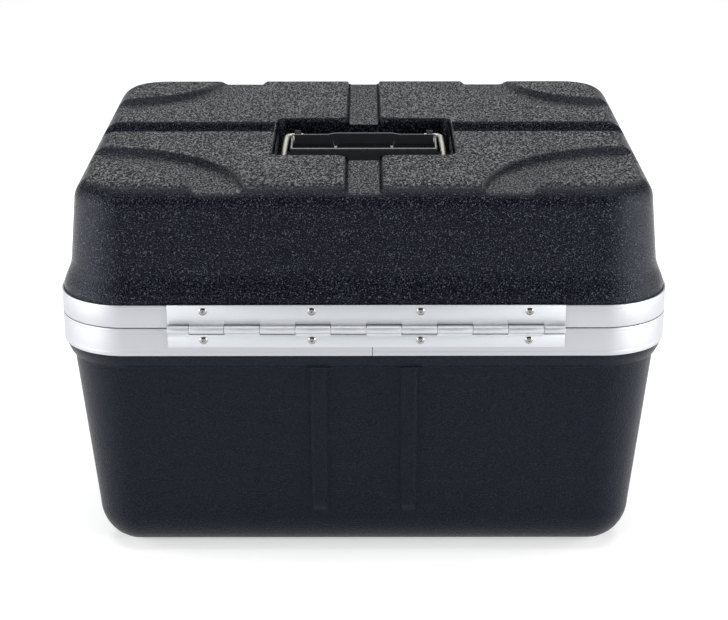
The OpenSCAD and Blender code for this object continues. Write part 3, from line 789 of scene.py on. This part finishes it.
def make_hinge():
    """Each leaf is a flat sheet and its own knuckles, the base's starting with the first."""
    for node, up, first, body, lift in [("base_hinge_leaf", -1, 0, "base", -1.9),
                                        ("lid_hinge_leaf", 1, 1, "lid", 0.5)]:
        low, high = mm_box(node)
        far_z = high[2] if up > 0 else low[2]
        near_z = PARTING_Z + up * KNUCKLE_D / 2 + lift
        pile = Pile()
        pile.add(*bevelled_slab((low[0], -HALF_D - LEAF_T, min(near_z, far_z)),
                                (high[0], -HALF_D - FRAME_GAP, max(near_z, far_z)), 0.3))
        for x0, x1 in knuckle_spans(first):
            verts, faces = prism_x(curl_section(up), x0, x1)
            pile.add(verts, faces if up > 0 else [tuple(reversed(f)) for f in faces])
        name = node + "_sheet"
        make_object(name, pile.verts, pile.faces, HINGE_METAL, body, [node], 30)


# Head of a blind rivet from its flange to the recess that the broken mandrel sits in: (radius, height)
RIVET_HEAD = [(1.6, -0.6), (3.05, -0.02), (3.3, 0.1), (3.32, 0.3), (3.05, 0.56), (2.55, 0.85), (2.0, 1.05),
              (1.45, 1.15), (1.15, 1.1), (0.98, 0.8), (0.95, 0.25), (0.6, 0.2), (0.45, 0.6), (0.0001, 0.7)]
# The swollen tail behind the stack, from the stack's back: (radius, height)
RIVET_TAIL = [(0.0001, 0.0), (2.2, 0.0), (2.6, -0.35), (2.5, -1.1), (1.6, -1.4), (0.0001, -1.4)]


def rivet_set(name, node, body, places, axis, stack):
    """Blind rivets through a stack that is stack thick: places are the points where their flanges sit."""
    pile = Pile()
    head = [(1.5, -stack)] + RIVET_HEAD
    tail = [(r, -stack + h) for r, h in reversed(RIVET_TAIL)]
    for place in places:
        pile.add(*lathe(head, place, axis))
        pile.add(*lathe(tail, place, axis))
    make_object(name, pile.verts, pile.faces, RIVET_METAL, body, [node], 50)


def make_rivets():
    """The hinge's two rows of rivets."""
    for node, body, rise in [("base_hinge_rivets", "base", -10.5), ("lid_hinge_rivets", "lid", 15.4)]:
        places = [(HINGE_X + s, -HALF_D - LEAF_T, PARTING_Z + rise) for s in HINGE_RIVETS]
        rivet_set(node + "_blind", node, body, places, (0, -1, 0), LEAF_T + FRAME_STACK)


def grip_section(rim_z, fill):
    """The grip's closed section in (y, z); fill raises the trough's floor, from 0 (open) to 1 (level)."""
    near, far, floor = GRIP_NEAR_Y, GRIP_FAR_Y, GRIP_FLOOR_Z

    def inner(y, z):
        level = GRIP_NEAR_Z - 1.5 + (rim_z - GRIP_NEAR_Z) * (y - near) / (far - near)
        return y, z + (level - z) * fill

    outer = [(far, rim_z), (far, floor - 3), (far - 6, floor - 7), (near - 2, floor - 6),
             (near - 9.5, floor - 1.5), (near - 10, floor + 3), (near - 4.8, floor + 11.6),
             (near - 1.4, GRIP_NEAR_Z)]
    trough = [(near + 1.2, GRIP_NEAR_Z - 0.2), inner(near + 2.6, floor + 9), inner(near + 6, floor + 2),
              inner(near + 14, floor), inner(far - 7, floor + 0.8), inner(far - 3.6, floor + 5),
              (far - 2.6, rim_z - 0.3)]
    return outer + trough


def make_grip():
    """The black grip: an open trough with closed ends, two cross webs and a swell in its far rim."""
    half = []
    x = 0.0
    while x < GRIP_HALF_L - 0.01:
        half.append(x)
        near_web, near_end = abs(x - GRIP_WEB_X) < 4, x > GRIP_HALF_L - 10
        x += 0.5 if near_web or near_end else 2.5
    half.append(GRIP_HALF_L)
    xs = mirrored(np.array(half))
    end_r = 1.6  # rounding of the ends
    middle = np.array([GRIP_NEAR_Y + 14, GRIP_FLOOR_Z + 6])
    verts = []
    for x in xs:
        a = abs(x)
        rim_z = GRIP_FAR_Z - 1.3 + 1.3 * float(smooth((34 - a) / 9))
        web = 0.42 * float(smooth((2.8 - abs(a - GRIP_WEB_X)) / 1.8))
        end = float(smooth((a - (GRIP_HALF_L - 3.6)) / 1.6))
        ring = np.array(rounded(grip_section(rim_z, max(web, end)), 0.7))
        into = max(0.0, a - (GRIP_HALF_L - end_r)) / end_r
        draw_in = end_r * (1 - math.sqrt(max(0.0, 1 - into**2)))
        away = ring - middle
        ring = ring - away / np.maximum(np.linalg.norm(away, axis=1, keepdims=True), 1e-6) * draw_in
        verts += [(x, y, z) for y, z in ring]
    make_object("grip_moulding", verts, tube_faces(len(xs), len(ring)), GLOSS, "handle",
                ["handle_grip"], 40)


def bend(corner, before, after, r, steps=8):
    """Points of a rounded corner between two neighbouring points of a path in a plane."""
    corner, before, after = (np.array(v, float) for v in (corner, before, after))
    a = before - corner
    b = after - corner
    a, b = a / np.linalg.norm(a), b / np.linalg.norm(b)
    half_angle = math.acos(float(np.clip(a @ b, -1, 1))) / 2
    reach = r / math.tan(half_angle)
    centre = corner + (a + b) / np.linalg.norm(a + b) * r / math.sin(half_angle)
    start, stop = corner + a * reach - centre, corner + b * reach - centre
    made = []
    for i in range(steps + 1):
        t = i / steps
        way = start * (1 - t) + stop * t
        made.append(tuple(centre + way / np.linalg.norm(way) * r))
    return made


def make_bail():
    """The bent wire: stubs in the brackets, two arms and the crossbar inside the grip."""
    pivot = joint_point("handle_swing")
    drop, run = BAR_Z - pivot[2], pivot[1] - BAR_Y
    length, slope = math.hypot(drop, run), math.atan2(-drop, run)
    corners = [(STUB_X, 0), (ARM_X[0], 0), (ARM_X[1], -0.45 * length), (ARM_X[1], -length)]
    half = [corners[0]]
    for i, r in ((1, 5.5), (2, 60.0)):
        half += bend(corners[i], corners[i - 1], corners[i + 1], r)
    half += bend(corners[3], corners[2], (0, -length), 5.0) + [(40, -length)]
    path = half + [(-x, y) for x, y in reversed(half)]
    turn = Matrix.Rotation(slope, 3, "X")
    around, verts = 20, []
    for i, here in enumerate(path):
        before, after = path[max(i - 1, 0)], path[min(i + 1, len(path) - 1)]
        along = Vector((after[0] - before[0], after[1] - before[1], 0)).normalized()
        side = Vector((along.y, -along.x, 0))
        for k in range(around):
            a = 2 * math.pi * k / around
            point = Vector((*here, 0)) + WIRE_R * (math.cos(a) * side + math.sin(a) * Vector((0, 0, 1)))
            verts.append(turn @ point + Vector(pivot))
    make_object("bail_wire", verts, tube_faces(len(path), around), WIRE, "handle",
                ["handle_bail"], 50)


def paint(node, material):
    """Gives a CAD node that keeps its shape a better material and softened edges; sizes are in metres."""
    obj = frame["nodes"][node]
    obj.data.materials.clear()
    obj.data.materials.append(material)
    weld = obj.modifiers.new("weld", "WELD")
    weld.merge_threshold = 0.00002
    bevel = obj.modifiers.new("bevel", "BEVEL")
    bevel.width = 0.00025
    bevel.segments = 2
    bevel.limit_method = "ANGLE"
    bevel.angle_limit = math.radians(35)


make_lid_shell()
make_tub_shell()
make_frames()
paint("frame_gasket", SEAL)
make_hinge()
make_rivets()
for name in ("latch_rivets", "keeper_rivets"):
    paint(name, RIVET_METAL)
for name in ("hinge_pin", "latch_plate_left", "latch_plate_right", "latch_pin_left", "latch_pin_right",
             "keeper_left", "keeper_right", "handle_backing_plate", "latch_claw_left", "latch_claw_right"):
    paint(name, PLATED)
for name in ("handle_bracket_left", "handle_bracket_right", "handle_bracket_rivets"):
    paint(name, BLACK_STEEL)
make_bail()
make_grip()


# ---------- stage, light and camera ----------


def make_floor():
    """A wide pale floor that glows a little, so that it stays white far from the lamps."""
    material, tree, shader = new_material("floor", Roughness=0.9, Specular_IOR_Level=0.1,
                                          Emission_Color=(1, 1, 1, 1), Emission_Strength=0.42)
    coords = object_coords(tree)
    noise = add_node(tree, "ShaderNodeTexNoise", Scale=2.0, Detail=2.0)
    tree.links.new(coords, noise.inputs["Vector"])
    tree.links.new(ramp(tree, noise.outputs["Fac"], [(0.3, grey(0.74)), (0.7, grey(0.76))]),
                   shader.inputs["Base Color"])
    mesh = bpy.data.meshes.new("floor")
    reach = 12.0
    corners = [(sx * reach, sy * reach, 0) for sx, sy in ((-1, -1), (1, -1), (1, 1), (-1, 1))]
    mesh.from_pydata(corners, [], [(0, 1, 2, 3)])
    mesh.materials.append(material)
    floor = bpy.data.objects.new("floor", mesh)
    bpy.context.scene.collection.objects.link(floor)


def area_light(name, place, target, size, power):
    """A rectangular lamp facing a target; size is (width, height) in metres and power in watts."""
    data = bpy.data.lights.new(name, "AREA")
    data.shape = "RECTANGLE"
    data.size, data.size_y = size
    data.energy = power
    light = bpy.data.objects.new(name, data)
    light.location = place
    light.rotation_euler = (Vector(target) - Vector(place)).to_track_quat("-Z", "Y").to_euler()
    bpy.context.scene.collection.objects.link(light)


def make_studio():
    """Even grey surroundings, a soft box overhead, one behind, and two lamps on each side."""
    world = bpy.data.worlds.new("studio")
    world.use_nodes = True
    background = world.node_tree.nodes["Background"]
    background.inputs["Color"].default_value = (1, 1, 1, 1)
    background.inputs["Strength"].default_value = 0.12
    bpy.context.scene.world = world
    centre = (0, 0, 0.25)
    area_light("overhead", (0, 0.1, 2.6), centre, (3.0, 1.8), 62)
    area_light("behind", (0, 2.7, 1.5), (0, 0, 0.35), (3.4, 1.3), 22)
    area_light("left_side", (-1.9, -1.35, 0.55), centre, (0.9, 0.9), 34)
    area_light("left_edge", (-2.2, -0.15, 0.68), centre, (1.4, 1.0), 24)
    area_light("right_edge", (2.2, -0.15, 0.68), centre, (1.4, 1.0), 26)
    area_light("right_side", (1.9, -1.35, 0.55), centre, (0.9, 0.9), 38)


def make_camera():
    """The camera at the photograph's viewing angle: level with the hinge side, looking 20 degrees down."""
    down, roll = 20.16, 0.07
    data = bpy.data.cameras.new("camera")
    data.lens = 91.33
    data.sensor_width = 36
    camera = bpy.data.objects.new("camera", data)
    camera.location = (0.0008, -1.680, 0.775)
    camera.rotation_euler = (math.radians(90 - down), math.radians(roll), 0)
    bpy.context.scene.collection.objects.link(camera)
    bpy.context.scene.camera = camera


make_floor()
make_studio()
make_camera()
bpy.context.scene.view_settings.view_transform = "Standard"
